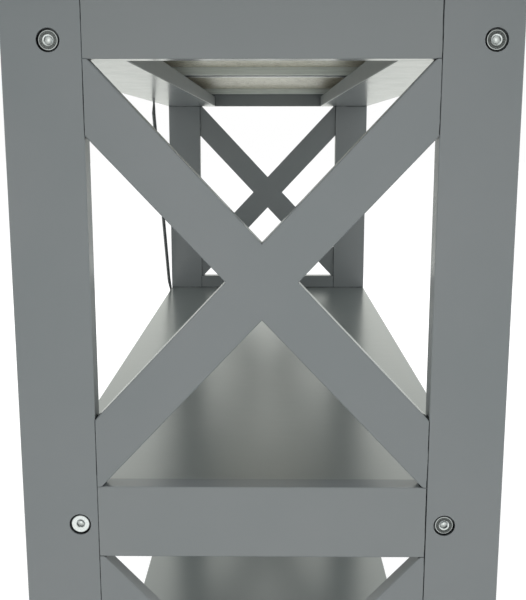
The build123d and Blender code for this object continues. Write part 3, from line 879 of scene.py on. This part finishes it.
@dataclass(frozen=True)
class HexRing(Ring):
    """A ring that follows a hexagon; its radius is half the width across the flats.

    Attributes:
        cone: How far the ring dips for each metre that the hexagon lies inside cone_radius.
        cone_radius: Radius at which the countersunk mouth starts.
    """

    cone: float = 0.0
    cone_radius: float = 0.0

    def point(self, angle: float) -> tuple[float, float]:
        """The hexagon's radius at an angle, and the height of the cone that it cuts.

        Args:
            angle: Angle round the axis in radians.

        Returns:
            The radius and the height.
        """
        sector = math.pi / 3.0
        around = (angle + sector / 2.0) % sector - sector / 2.0
        radius = self.radius / math.cos(around)
        return radius, self.height - self.cone * max(0.0, self.cone_radius - radius)


@dataclass(frozen=True)
class CrossRing(Ring):
    """A ring of a screw head that dips into a cross recess.

    Attributes:
        arm_width: Width of each arm.
        arm_length: Length of each arm from the axis.
        depth: Depth of the recess at the axis.
        wall: Width over which an arm's wall falls.
        slope: Share of an arm's length over which its floor rises to the end.
    """

    arm_width: float = 0.9 * MM
    arm_length: float = 2.1 * MM
    depth: float = 1.4 * MM
    wall: float = 0.12 * MM
    slope: float = 0.45

    def point(self, angle: float) -> tuple[float, float]:
        """The ring's radius, and its height with the recess taken off.

        Args:
            angle: Angle round the axis in radians.

        Returns:
            The radius and the height.
        """
        x, y = abs(self.radius * math.cos(angle)), abs(self.radius * math.sin(angle))
        cut = 0.0
        for across, along in ((x, y), (y, x)):
            side = min(1.0, max(0.0, (self.arm_width / 2.0 - across) / self.wall + 0.5))
            rise = (self.arm_length - along) / (self.arm_length * self.slope)
            cut = max(cut, side * min(1.0, max(0.0, rise)))
        return self.radius, self.height - self.depth * cut


@dataclass
class Lathe:
    """Turned solids gathered in one mesh.

    Attributes:
        segments: Points round each ring; a multiple of 12, so that hexagons keep their corners.
        mesh: The mesh that grows with each turned solid.
        reach: Each point's distance from its axis, for the turning marks.
        bright: Each point's tone, the metal's painted light and shade.
    """

    segments: int
    mesh: bmesh.types.BMesh = field(default_factory=bmesh.new)

    def __post_init__(self) -> None:
        """Give the mesh the two attributes that turned metal reads."""
        self.reach = self.mesh.verts.layers.float.new("reach")
        self.bright = self.mesh.verts.layers.float.new("tone")

    def row(self, place: Matrix, ring: Ring, face_tone: float) -> list[bmesh.types.BMVert]:
        """Set out the points of one ring.

        Args:
            place: Local to model frame.
            ring: The ring.
            face_tone: The least tone of the head's face.

        Returns:
            The ring's points; one alone where it has no radius.
        """
        points = []
        for step in range(self.segments if ring.radius > 0.0 else 1):
            angle = 2.0 * math.pi * step / self.segments
            radius, height = ring.point(angle)
            local = Vector((radius * math.cos(angle), radius * math.sin(angle), height))
            point = self.mesh.verts.new(place @ local)
            point[self.reach] = radius
            point[self.bright] = ring.tone_at(angle, face_tone)
            points.append(point)
        return points

    def turn(self, place: Matrix, profile: Sequence[Ring], face_tone: float = 1.0) -> None:
        """Turn a closed profile about the local Z axis.

        Args:
            place: Local to model frame.
            profile: Rings from one pole to the other; the first and last have no radius.
            face_tone: The least tone of the head's face.
        """
        rows = [self.row(place, ring, face_tone) for ring in profile]
        for lower, upper in zip(rows, rows[1:]):
            for step in range(self.segments):
                after = (step + 1) % self.segments
                corners = [lower[step % len(lower)], lower[after % len(lower)]]
                corners += [upper[after % len(upper)], upper[step % len(upper)]]
                unique = list(dict.fromkeys(corners))
                if len(unique) > 2:
                    self.mesh.faces.new(unique)

    def finish(
        self, name: str, material: bpy.types.Material, sharp: float = 32.0
    ) -> bpy.types.Object:
        """Close the mesh and make one object of it.

        Args:
            name: The object's name.
            material: Its material.
            sharp: Angle in degrees above which an edge stays sharp.

        Returns:
            The object, in the scene.
        """
        bmesh.ops.recalc_face_normals(self.mesh, faces=self.mesh.faces)
        for face in self.mesh.faces:
            face.smooth = True
        data = bpy.data.meshes.new(name)
        self.mesh.to_mesh(data)
        self.mesh.free()
        data.set_sharp_from_angle(angle=math.radians(sharp))
        data.materials.append(material)
        piece = bpy.data.objects.new(name, data)
        bpy.context.scene.collection.objects.link(piece)
        return piece


def looking(along: tuple[float, float, float]) -> Matrix:
    """The turn that points a piece's own Z axis along a direction."""
    return Vector(along).to_track_quat("Z", "Y").to_matrix().to_4x4()


def arc(
    centre: tuple[float, float],
    radius: float,
    start: float,
    end: float,
    tone: float,
    steps: int = 5,
) -> list[Ring]:
    """Rings along an arc of a profile.

    Args:
        centre: The arc's centre as (radius, height).
        radius: The arc's own radius.
        start: Start angle in degrees, zero pointing away from the axis.
        end: End angle in degrees.
        tone: Tone of the rings.
        steps: Number of spans.

    Returns:
        The rings, ends included.
    """
    angles = [math.radians(start + (end - start) * step / steps) for step in range(steps + 1)]
    return [
        Ring(centre[0] + radius * math.cos(angle), centre[1] + radius * math.sin(angle), tone)
        for angle in angles
    ]


def clusters(node: str, axis: int, gap: float = 15.0 * MM) -> list[tuple[Vector, Vector]]:
    """Split a CAD node of like pieces into the box of each one.

    Args:
        node: The CAD node's name.
        axis: Index of the axis along which the pieces are long.
        gap: Greatest distance across that axis from one piece's middle to its edge.

    Returns:
        The (lowest, highest) corner of each piece.
    """
    boxes: list[tuple[Vector, Vector]] = []
    across = [index for index in range(3) if index != axis]
    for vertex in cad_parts[node].data.vertices:
        point = vertex.co
        for low, high in boxes:
            middle = (low + high) / 2.0
            near = all(abs(point[index] - middle[index]) < gap for index in across)
            if near and (point[axis] > 0.0) == (middle[axis] > 0.0):
                for index in range(3):
                    low[index] = min(low[index], point[index])
                    high[index] = max(high[index], point[index])
                break
        else:
            boxes.append((point.copy(), point.copy()))
    return boxes


def stand_for(piece: bpy.types.Object, node: str, body: Body) -> str:
    """Let a piece ride on a body and stand for a CAD node, which is hidden.

    Args:
        piece: The new piece.
        node: The CAD node that it stands for.
        body: The body that it rides on.

    Returns:
        The piece's name.
    """
    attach(piece, body.value)
    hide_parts(node)
    return piece.name


# ---------------------------------------------------------------- sub-assemblies
@dataclass
class EndFrame:
    """One crossed end frame: legs, rails and bars."""

    side: Side

    def build(self, finishes: Finishes) -> list[str]:
        """Paint the frame's boards, each along its own fibres.

        Args:
            finishes: The table's finishes.

        Returns:
            The names of the boards.
        """
        side = self.side.value
        boards = {f"{side}_{rail}_rail": finishes.rail_paint for rail in ("top", "mid", "low")}
        for row in ("front", "back"):
            boards[f"{side}_{row}_leg"] = finishes.leg_paint
            for bay in ("upper", "lower"):
                boards[f"{side}_{bay}_{row}_bar"] = finishes.leg_paint
        return dress(boards)


@dataclass
class LongMembers:
    """The shelves, long rails, back panel, partition and top."""

    shelves: tuple[str, ...] = ("mid_shelf", "low_shelf")
    rails: tuple[str, ...] = ("front_long_rail", "back_long_rail")
    boards: tuple[str, ...] = ("back_panel", "table_top")

    def build(self, finishes: Finishes) -> list[str]:
        """Paint the boards.

        Args:
            finishes: The table's finishes.

        Returns:
            The names of the boards.
        """
        painted = dict.fromkeys(self.boards, finishes.board_paint)
        painted |= dict.fromkeys(self.rails, finishes.long_rail_paint)
        painted |= dict.fromkeys(self.shelves, finishes.shelf_paint)
        return dress(painted | {"centre_partition": finishes.partition_paint})


@dataclass
class FrameBolts:
    """The twelve bolts with low flanged heads and countersunk hexagon sockets.

    The heads' faces are painted dark, a painted reflection of dark surroundings, except on one
    bolt of the left frame whose face is painted bright, a painted reflection of the floor; the
    sockets carry painted glints.
    """

    head_radius: float = 6.15 * MM
    head_height: float = 3.6 * MM
    rim_round: float = 0.55 * MM
    lip: float = 0.15 * MM
    mouth_radius: float = 3.3 * MM
    mouth_slope: float = 0.75
    across_flats: float = 4.6 * MM
    socket_depth: float = 2.6 * MM
    drill_depth: float = 0.7 * MM
    shank_radius: float = 3.0 * MM
    end_round: float = 0.6 * MM
    plain_tone: float = 0.6
    # painted reflections on the heads' faces: bright on the one bolt that mirrors the floor, dark
    # on the rest
    floor_reflection_tone: float = 0.78
    floor_reflection_heights: tuple[float, float] = (0.3, 0.5)
    dark_reflection_tones: tuple[float, ...] = (0.06, 0.1, 0.03, 0.12, 0.08)
    first_turn: float = 17.0
    next_turn: float = 23.0
    segments: int = 96

    def profile(self, length: float) -> list[Ring]:
        """The bolt from its tip, at the bottom, to the bottom of its socket.

        Args:
            length: Over-all length, tip to the head's face.

        Returns:
            The rings; the head's face is at height zero.
        """
        half, floor = self.across_flats / 2.0, -self.socket_depth
        rim = self.head_radius - self.rim_round
        outside = (
            (0.0, -length),
            (self.shank_radius - self.end_round, -length),
            (self.shank_radius, -length + self.end_round),
            (self.shank_radius, -self.head_height),
            (self.head_radius, -self.head_height),
        )
        rings = [Ring(radius, height, self.plain_tone) for radius, height in outside]
        rings += arc((rim, -self.rim_round), self.rim_round, 0.0, 90.0, self.plain_tone)
        # the face's rings take the bolt's painted reflection; the socket's tones paint glints on
        # its mouth and a bright spot at its drill point, and facet_shade paints shade on every
        # second flat
        rings += [
            Ring(rim - self.lip, 0.0, 0.0),
            Ring((rim + self.mouth_radius) / 2.0, 0.0, 0.0),
            Ring(self.mouth_radius + self.lip, 0.0, 0.0),
            Ring(self.mouth_radius, 0.0, 0.85),
            HexRing(half, 0.0, 1.0, 0.25, cone=self.mouth_slope, cone_radius=self.mouth_radius),
            HexRing(half, 0.1 * floor, 0.75, 0.6),
            HexRing(half, 0.6 * floor, 0.6, 0.6),
            HexRing(half, floor, 0.5),
            Ring(half * 0.9, floor - 0.05 * MM, 0.5),
            Ring(half * 0.6, floor - 0.35 * self.drill_depth, 0.55),
            Ring(half * 0.3, floor - 0.7 * self.drill_depth, 1.0),
            Ring(0.0, floor - self.drill_depth, 1.0),
        ]
        return rings

    def build(self, finishes: Finishes) -> list[str]:
        """Make the bolts where the frame has them.

        Args:
            finishes: The table's finishes.

        Returns:
            The name of the piece that stands for all the bolts.
        """
        lathe = Lathe(self.segments)
        boxes = clusters("frame_bolts", 0)
        boxes.sort(key=lambda box: (round(box[0].x, 3), -round(box[0].z, 3), box[0].y))
        for index, (low, high) in enumerate(boxes):
            right = low.x > 0.0
            centre = (low + high) / 2.0
            centre.x = high.x if right else low.x
            turn = math.radians(self.first_turn + self.next_turn * index)
            place = Matrix.Translation(centre) @ looking((1.0 if right else -1.0, 0.0, 0.0))
            # one back bolt of the left frame at mid height gets the bright painted reflection; the
            # others a dark one
            lowest, highest = self.floor_reflection_heights
            mirrors_floor = not right and low.y > 0.0 and lowest < centre.z < highest
            tone = self.floor_reflection_tone if mirrors_floor else self.dark_reflection_tones[index % len(self.dark_reflection_tones)]
            place = place @ Matrix.Rotation(turn, 4, "Z")
            lathe.turn(place, self.profile(high.x - low.x), tone)
        piece = lathe.finish("socket_bolts", finishes.bolt)
        return [stand_for(piece, "frame_bolts", Body.TABLE)]


@dataclass
class BraceScrews:
    """The four pan-head screws of the back braces, with cross recesses."""

    head_radius: float = 3.6 * MM
    head_height: float = 2.2 * MM
    rim_share: float = 0.35
    crown_power: float = 2.6
    crown_rings: int = 26
    shank_radius: float = 1.75 * MM
    apart: float = 12.0 * MM
    first_turn: float = 31.0
    next_turn: float = 47.0
    segments: int = 72

    def profile(self, length: float) -> list[Ring]:
        """The screw from its tip to the middle of its head, whose crown is at height zero.

        Args:
            length: Over-all length.

        Returns:
            The rings.
        """
        seat = -self.head_height
        # painted light: the tones rise from the shank to the crown, so the crown is lightest
        rings = [
            Ring(0.0, -length, 0.6),
            Ring(self.shank_radius, -length + 2.0 * self.shank_radius, 0.6),
            Ring(self.shank_radius, seat, 0.6),
            Ring(self.head_radius, seat, 0.7),
            Ring(self.head_radius, seat + self.rim_share * self.head_height, 0.8),
        ]
        for step in range(1, self.crown_rings + 1):
            share = 1.0 - step / self.crown_rings
            crown = math.sqrt(max(0.0, 1.0 - share**self.crown_power))
            height = seat + self.head_height * (self.rim_share + (1.0 - self.rim_share) * crown)
            rings.append(CrossRing(self.head_radius * share, height, 0.85))
        return rings

    def build(self, finishes: Finishes) -> list[str]:
        """Make the screws where the frame has them.

        Args:
            finishes: The table's finishes.

        Returns:
            The name of the piece that stands for the four screws.
        """
        lathe = Lathe(self.segments)
        for index, (low, high) in enumerate(clusters("brace_screws", 1, self.apart)):
            centre = (low + high) / 2.0
            centre.y = high.y
            turn = math.radians(self.first_turn + self.next_turn * index)
            place = Matrix.Translation(centre) @ looking((0.0, 1.0, 0.0))
            place = place @ Matrix.Rotation(turn, 4, "Z")
            lathe.turn(place, self.profile(high.y - low.y))
        piece = lathe.finish("brace_pan_screws", finishes.knob)
        return [stand_for(piece, "brace_screws", Body.TABLE)]


@dataclass
class Knob:
    """One turned knob: foot, waisted neck, rounded rim and a shallow domed face."""

    side: Side
    foot_radius: float = 7.0 * MM
    foot_ease: float = 0.4 * MM
    foot_height: float = 1.8 * MM
    collar: float = 0.5 * MM
    neck_radius: float = 5.5 * MM
    neck_start: float = 1.9 * MM
    neck_length: float = 9.2 * MM
    neck_step: float = 0.6 * MM
    waist: float = 0.9 * MM
    waist_end: float = 0.85
    swell_start: float = 0.35
    swell_power: float = 1.8
    rim_radius: float = 12.5 * MM
    rim_round: float = 2.0 * MM
    rim_back: float = 13.0 * MM
    rim_front: float = 15.0 * MM
    rim_under: float = -60.0
    rim_turn: float = 62.0
    reach: float = 20.0 * MM
    steps: int = 10
    segments: int = 96

    def neck(self) -> list[Ring]:
        """The waisted neck, which swells towards the rim.

        Returns:
            The rings from the foot up.
        """
        rings = []
        for step in range(self.steps + 1):
            share = step / self.steps
            waist = self.waist * math.sin(math.pi * min(1.0, share / self.waist_end) * 0.5)
            swell = max(0.0, (share - self.swell_start) / (1.0 - self.swell_start))
            widest = self.rim_radius - self.neck_radius - self.neck_step
            radius = self.foot_radius - self.neck_step - waist + widest * swell**self.swell_power
            rings.append(Ring(radius, self.neck_start + self.neck_length * share, 0.6))
        return rings

    def profile(self) -> list[Ring]:
        """The knob from the middle of its foot to the middle of its face.

        Returns:
            The rings; the foot stands at height zero.
        """
        ease, middle = self.foot_ease, self.rim_radius - self.rim_round
        # painted light and shade: darker tones at the collar and along the waisted neck, lighter
        # on the foot's side and the rim
        rings = [
            Ring(0.0, 0.0, 0.4),
            Ring(self.foot_radius - ease, 0.0, 0.6),
            Ring(self.foot_radius, ease, 0.8),
            Ring(self.foot_radius, self.foot_height - ease, 0.8),
            Ring(self.foot_radius - self.collar, self.foot_height, 0.5),
        ]
        rings += self.neck()
        rings += arc((middle, self.rim_back), self.rim_round, self.rim_under, 0.0, 0.75)
        rings += arc((middle, self.rim_front), self.rim_round, 0.0, self.rim_turn, 0.8)
        crown, start = rings[-1].radius, rings[-1].height
        for step in range(1, self.steps + 1):
            share = step / self.steps
            height = start + (self.reach - start) * (1.0 - (1.0 - share) ** 2)
            rings.append(Ring(crown * (1.0 - share), height, 0.7))
        return rings

    def build(self, finishes: Finishes) -> list[str]:
        """Make the knob where the frame has it.

        Args:
            finishes: The table's finishes.

        Returns:
            The name of the piece that stands for the knob.
        """
        body = Body(f"{self.side.value}_drawer")
        node = f"{body.value}_knob"
        low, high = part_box(node)
        foot = (low + high) / 2.0
        foot.y = high.y
        lathe = Lathe(self.segments)
        lathe.turn(Matrix.Translation(foot) @ looking((0.0, -1.0, 0.0)), self.profile())
        piece = lathe.finish(f"{self.side.value}_turned_knob", finishes.knob)
        return [stand_for(piece, node, body)]


@dataclass
class Drawer:
    """One drawer with its runners and knob."""

    side: Side

    def build(self, finishes: Finishes) -> list[str]:
        """Paint the drawer's front, line its boards with foil and make its knob.

        Args:
            finishes: The table's finishes.

        Returns:
            The names of the drawer's pieces.
        """
        name = f"{self.side.value}_drawer"
        nodes = {
            f"{name}_front": finishes.board_paint,
            f"{name}_outer_side": finishes.foil,
            f"{name}_inner_side": finishes.foil,
            f"{name}_back": finishes.foil,
            f"{name}_bottom": finishes.hardboard,
            f"{name}_knob_screw": finishes.zinc,
            f"{name}_knob": finishes.zinc,
            f"{self.side.value}_outer_runner": finishes.beech,
            f"{self.side.value}_inner_runner": finishes.beech,
        }
        return dress(nodes) + Knob(self.side).build(finishes)


@dataclass
class Fastenings:
    """Bolts, nuts, dowels, cams, screws, braces and glides."""

    zinc: tuple[str, ...] = (
        "frame_bolts",
        "barrel_nuts",
        "top_cams",
        "top_posts",
        "runner_screws",
        "brace_screws",
    )
    wood: tuple[str, ...] = ("dowels", "bar_dowels")
    braces: tuple[str, ...] = ("left_back_brace", "right_back_brace")

    def build(self, finishes: Finishes) -> list[str]:
        """Finish the metal, wood and plastic fittings, and make the bolts and brace screws.

        Args:
            finishes: The table's finishes.

        Returns:
            The names of the fittings.
        """
        nodes = dict.fromkeys(self.zinc, finishes.zinc)
        nodes |= dict.fromkeys(self.wood, finishes.beech)
        nodes |= dict.fromkeys(self.braces, finishes.dark_steel)
        dressed = dress(nodes | {"foot_glides": finishes.plastic})
        return dressed + FrameBolts().build(finishes) + BraceScrews().build(finishes)


# ---------------------------------------------------------------- studio
@dataclass(frozen=True)
class Lamp:
    """One square soft box, in metres and watts."""

    name: str
    place: tuple[float, float, float]
    target: tuple[float, float, float]
    size: float
    power: float

    def hang(self) -> None:
        """Put the lamp in the scene, where reflections don't show it."""
        light = bpy.data.lights.new(self.name, "AREA")
        light.shape = "SQUARE"
        light.size = self.size
        light.energy = self.power
        holder = bpy.data.objects.new(self.name, light)
        place, target = Vector(self.place), Vector(self.target)
        holder.location = place
        holder.rotation_euler = (target - place).to_track_quat("-Z", "Y").to_euler()
        holder.visible_glossy = False
        bpy.context.scene.collection.objects.link(holder)


LAMPS = (
    Lamp("near_end_low_box", (-1.5, 0.0, 0.5), (-0.46, 0.0, 0.5), 0.8, 4.7),
    Lamp("near_end_high_box", (-1.7, 0.0, 1.9), (-0.46, 0.0, 0.5), 1.3, 3.0),
    Lamp("overhead_box", (0.0, 0.0, 3.0), (0.0, 0.0, 0.45), 2.4, 34.0),
    Lamp("front_box", (-0.3, -2.8, 1.4), (0.0, 0.0, 0.45), 1.8, 32.0),
    Lamp("back_box", (0.3, 2.8, 1.4), (0.0, 0.0, 0.45), 1.8, 28.0),
    Lamp("far_end_box", (2.8, 0.0, 1.2), (0.46, 0.0, 0.45), 1.6, 28.0),
)


@dataclass
class Studio:
    """Floor, light and camera."""

    lens: float = 53.14
    sensor: float = 36.0
    near_clip: float = 0.05
    camera_back: float = 0.5584
    camera_y: float = -0.0059
    camera_below_rail: float = 0.0458
    pitch: float = 10.549
    yaw: float = 0.53
    soft: float = 0.28
    daylight: Colour = (0.97, 0.985, 1.0, 1.0)
    paper: Colour = (0.8, 0.8, 0.78, 1.0)
    paper_mirrored: Colour = (0.955, 0.985, 0.925, 1.0)
    paper_shade: Colour = (0.3, 0.3, 0.3, 1.0)
    # the dimmed glow near the table, which paints shade round it, and the distances over which the
    # glow rises to full
    paper_glow: float = 0.84
    glow_fade_start: float = 0.5
    glow_fade_end: float = 1.7
    floor_width: float = 40.0

    def swap(
        self, tree: bpy.types.NodeTree, output: str, plain: bpy.types.Node, seen: bpy.types.Node
    ) -> None:
        """Join one shader that lights the table and another that is seen, direct or mirrored.

        Args:
            tree: The floor's or the world's nodes.
            output: The output node's Blender type name.
            plain: The shader that lights the table.
            seen: The shader that the camera, gloss and glass see.
        """
        graph = NodeGraph(tree)
        rays = graph.add("ShaderNodeLightPath").outputs
        looked_at = graph.maths("MAXIMUM", rays["Is Camera Ray"], rays["Is Glossy Ray"])
        looked_at = graph.maths("MAXIMUM", looked_at, rays["Is Transmission Ray"])
        mix = graph.add("ShaderNodeMixShader")
        graph.join(looked_at, mix.inputs[0])
        graph.join(plain.outputs[0], mix.inputs[1])
        graph.join(seen.outputs[0], mix.inputs[2])
        graph.join(mix.outputs[0], graph.add(output).inputs["Surface"])

    def whiten(self, graph: NodeGraph, target: Socket) -> None:
        """Colour the paper white to the camera, and faintly tinted where it is mirrored.

        Args:
            graph: The floor's or the world's graph.
            target: The colour socket.
        """
        direct = graph.add("ShaderNodeLightPath").outputs["Is Camera Ray"]
        graph.join(graph.blend(direct, self.paper_mirrored, WHITE), target)

    def floor(self) -> None:
        """A pale floor that shows white to the camera and keeps the table's shadow, with painted
        shade round the table where its glow is dimmed.
        """
        material = bpy.data.materials.new("studio_floor")
        material.use_nodes = True
        material.node_tree.nodes.clear()
        graph = NodeGraph(material.node_tree)
        matt = graph.add("ShaderNodeBsdfDiffuse", Color=self.paper)
        faint = graph.add("ShaderNodeBsdfDiffuse", Color=self.paper_shade)
        glow = graph.add("ShaderNodeEmission")
        away = graph.add("ShaderNodeVectorMath", operation="LENGTH")
        graph.join(graph.position(), away.inputs[0])
        # painted shade round the table: the glow is weaker near the table and full far from it
        glow_fade = (self.glow_fade_start, self.glow_fade_end, self.paper_glow, 1.0)
        graph.join(graph.remap(away.outputs["Value"], *glow_fade), glow.inputs["Strength"])
        self.whiten(graph, glow.inputs["Color"])
        white = graph.add("ShaderNodeAddShader")
        graph.join(faint.outputs[0], white.inputs[0])
        graph.join(glow.outputs[0], white.inputs[1])
        self.swap(material.node_tree, "ShaderNodeOutputMaterial", matt, white)
        bpy.ops.mesh.primitive_plane_add(size=self.floor_width, location=(0.0, 0.0, 0.0))
        floor = bpy.context.object
        floor.name = "floor"
        floor.data.materials.append(material)

    def world(self) -> None:
        """A soft even world that shows white behind the table."""
        world = bpy.data.worlds.new("studio")
        bpy.context.scene.world = world
        world.use_nodes = True
        world.node_tree.nodes.clear()
        graph = NodeGraph(world.node_tree)
        soft = graph.add("ShaderNodeBackground", Color=self.daylight, Strength=self.soft)
        white = graph.add("ShaderNodeBackground", Strength=1.0)
        self.whiten(graph, white.inputs["Color"])
        self.swap(world.node_tree, "ShaderNodeOutputWorld", soft, white)

    def camera(self) -> None:
        """Stand the camera off the left end, below the drawer level, looking slightly down."""
        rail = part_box("left_top_rail")[0]
        data = bpy.data.cameras.new("camera")
        data.lens = self.lens
        data.sensor_width = self.sensor
        data.sensor_fit = "AUTO"
        data.clip_start = self.near_clip
        holder = bpy.data.objects.new("camera", data)
        height = rail.z - self.camera_below_rail
        holder.location = (rail.x - self.camera_back, self.camera_y, height)
        tilt, swing = math.radians(90.0 - self.pitch), math.radians(-90.0 + self.yaw)
        holder.rotation_euler = (tilt, 0.0, swing)
        bpy.context.scene.collection.objects.link(holder)
        bpy.context.scene.camera = holder

    def build(self) -> None:
        """Set up the whole studio."""
        self.floor()
        self.world()
        for lamp in LAMPS:
            lamp.hang()
        self.camera()
        bpy.context.scene.view_settings.view_transform = "Standard"


def main() -> None:
    """Set up the studio, build every sub-assembly in order and report each piece."""
    logging.basicConfig(level=logging.INFO)
    Studio().build()
    finishes = Finishes()
    parts = (
        EndFrame(Side.LEFT),
        EndFrame(Side.RIGHT),
        LongMembers(),
        Drawer(Side.LEFT),
        Drawer(Side.RIGHT),
        Fastenings(),
    )
    for part in parts:
        for name in part.build(finishes):
            LOG.info("%s: %s", type(part).__name__, name)


if __name__ == "__main__":
    main()
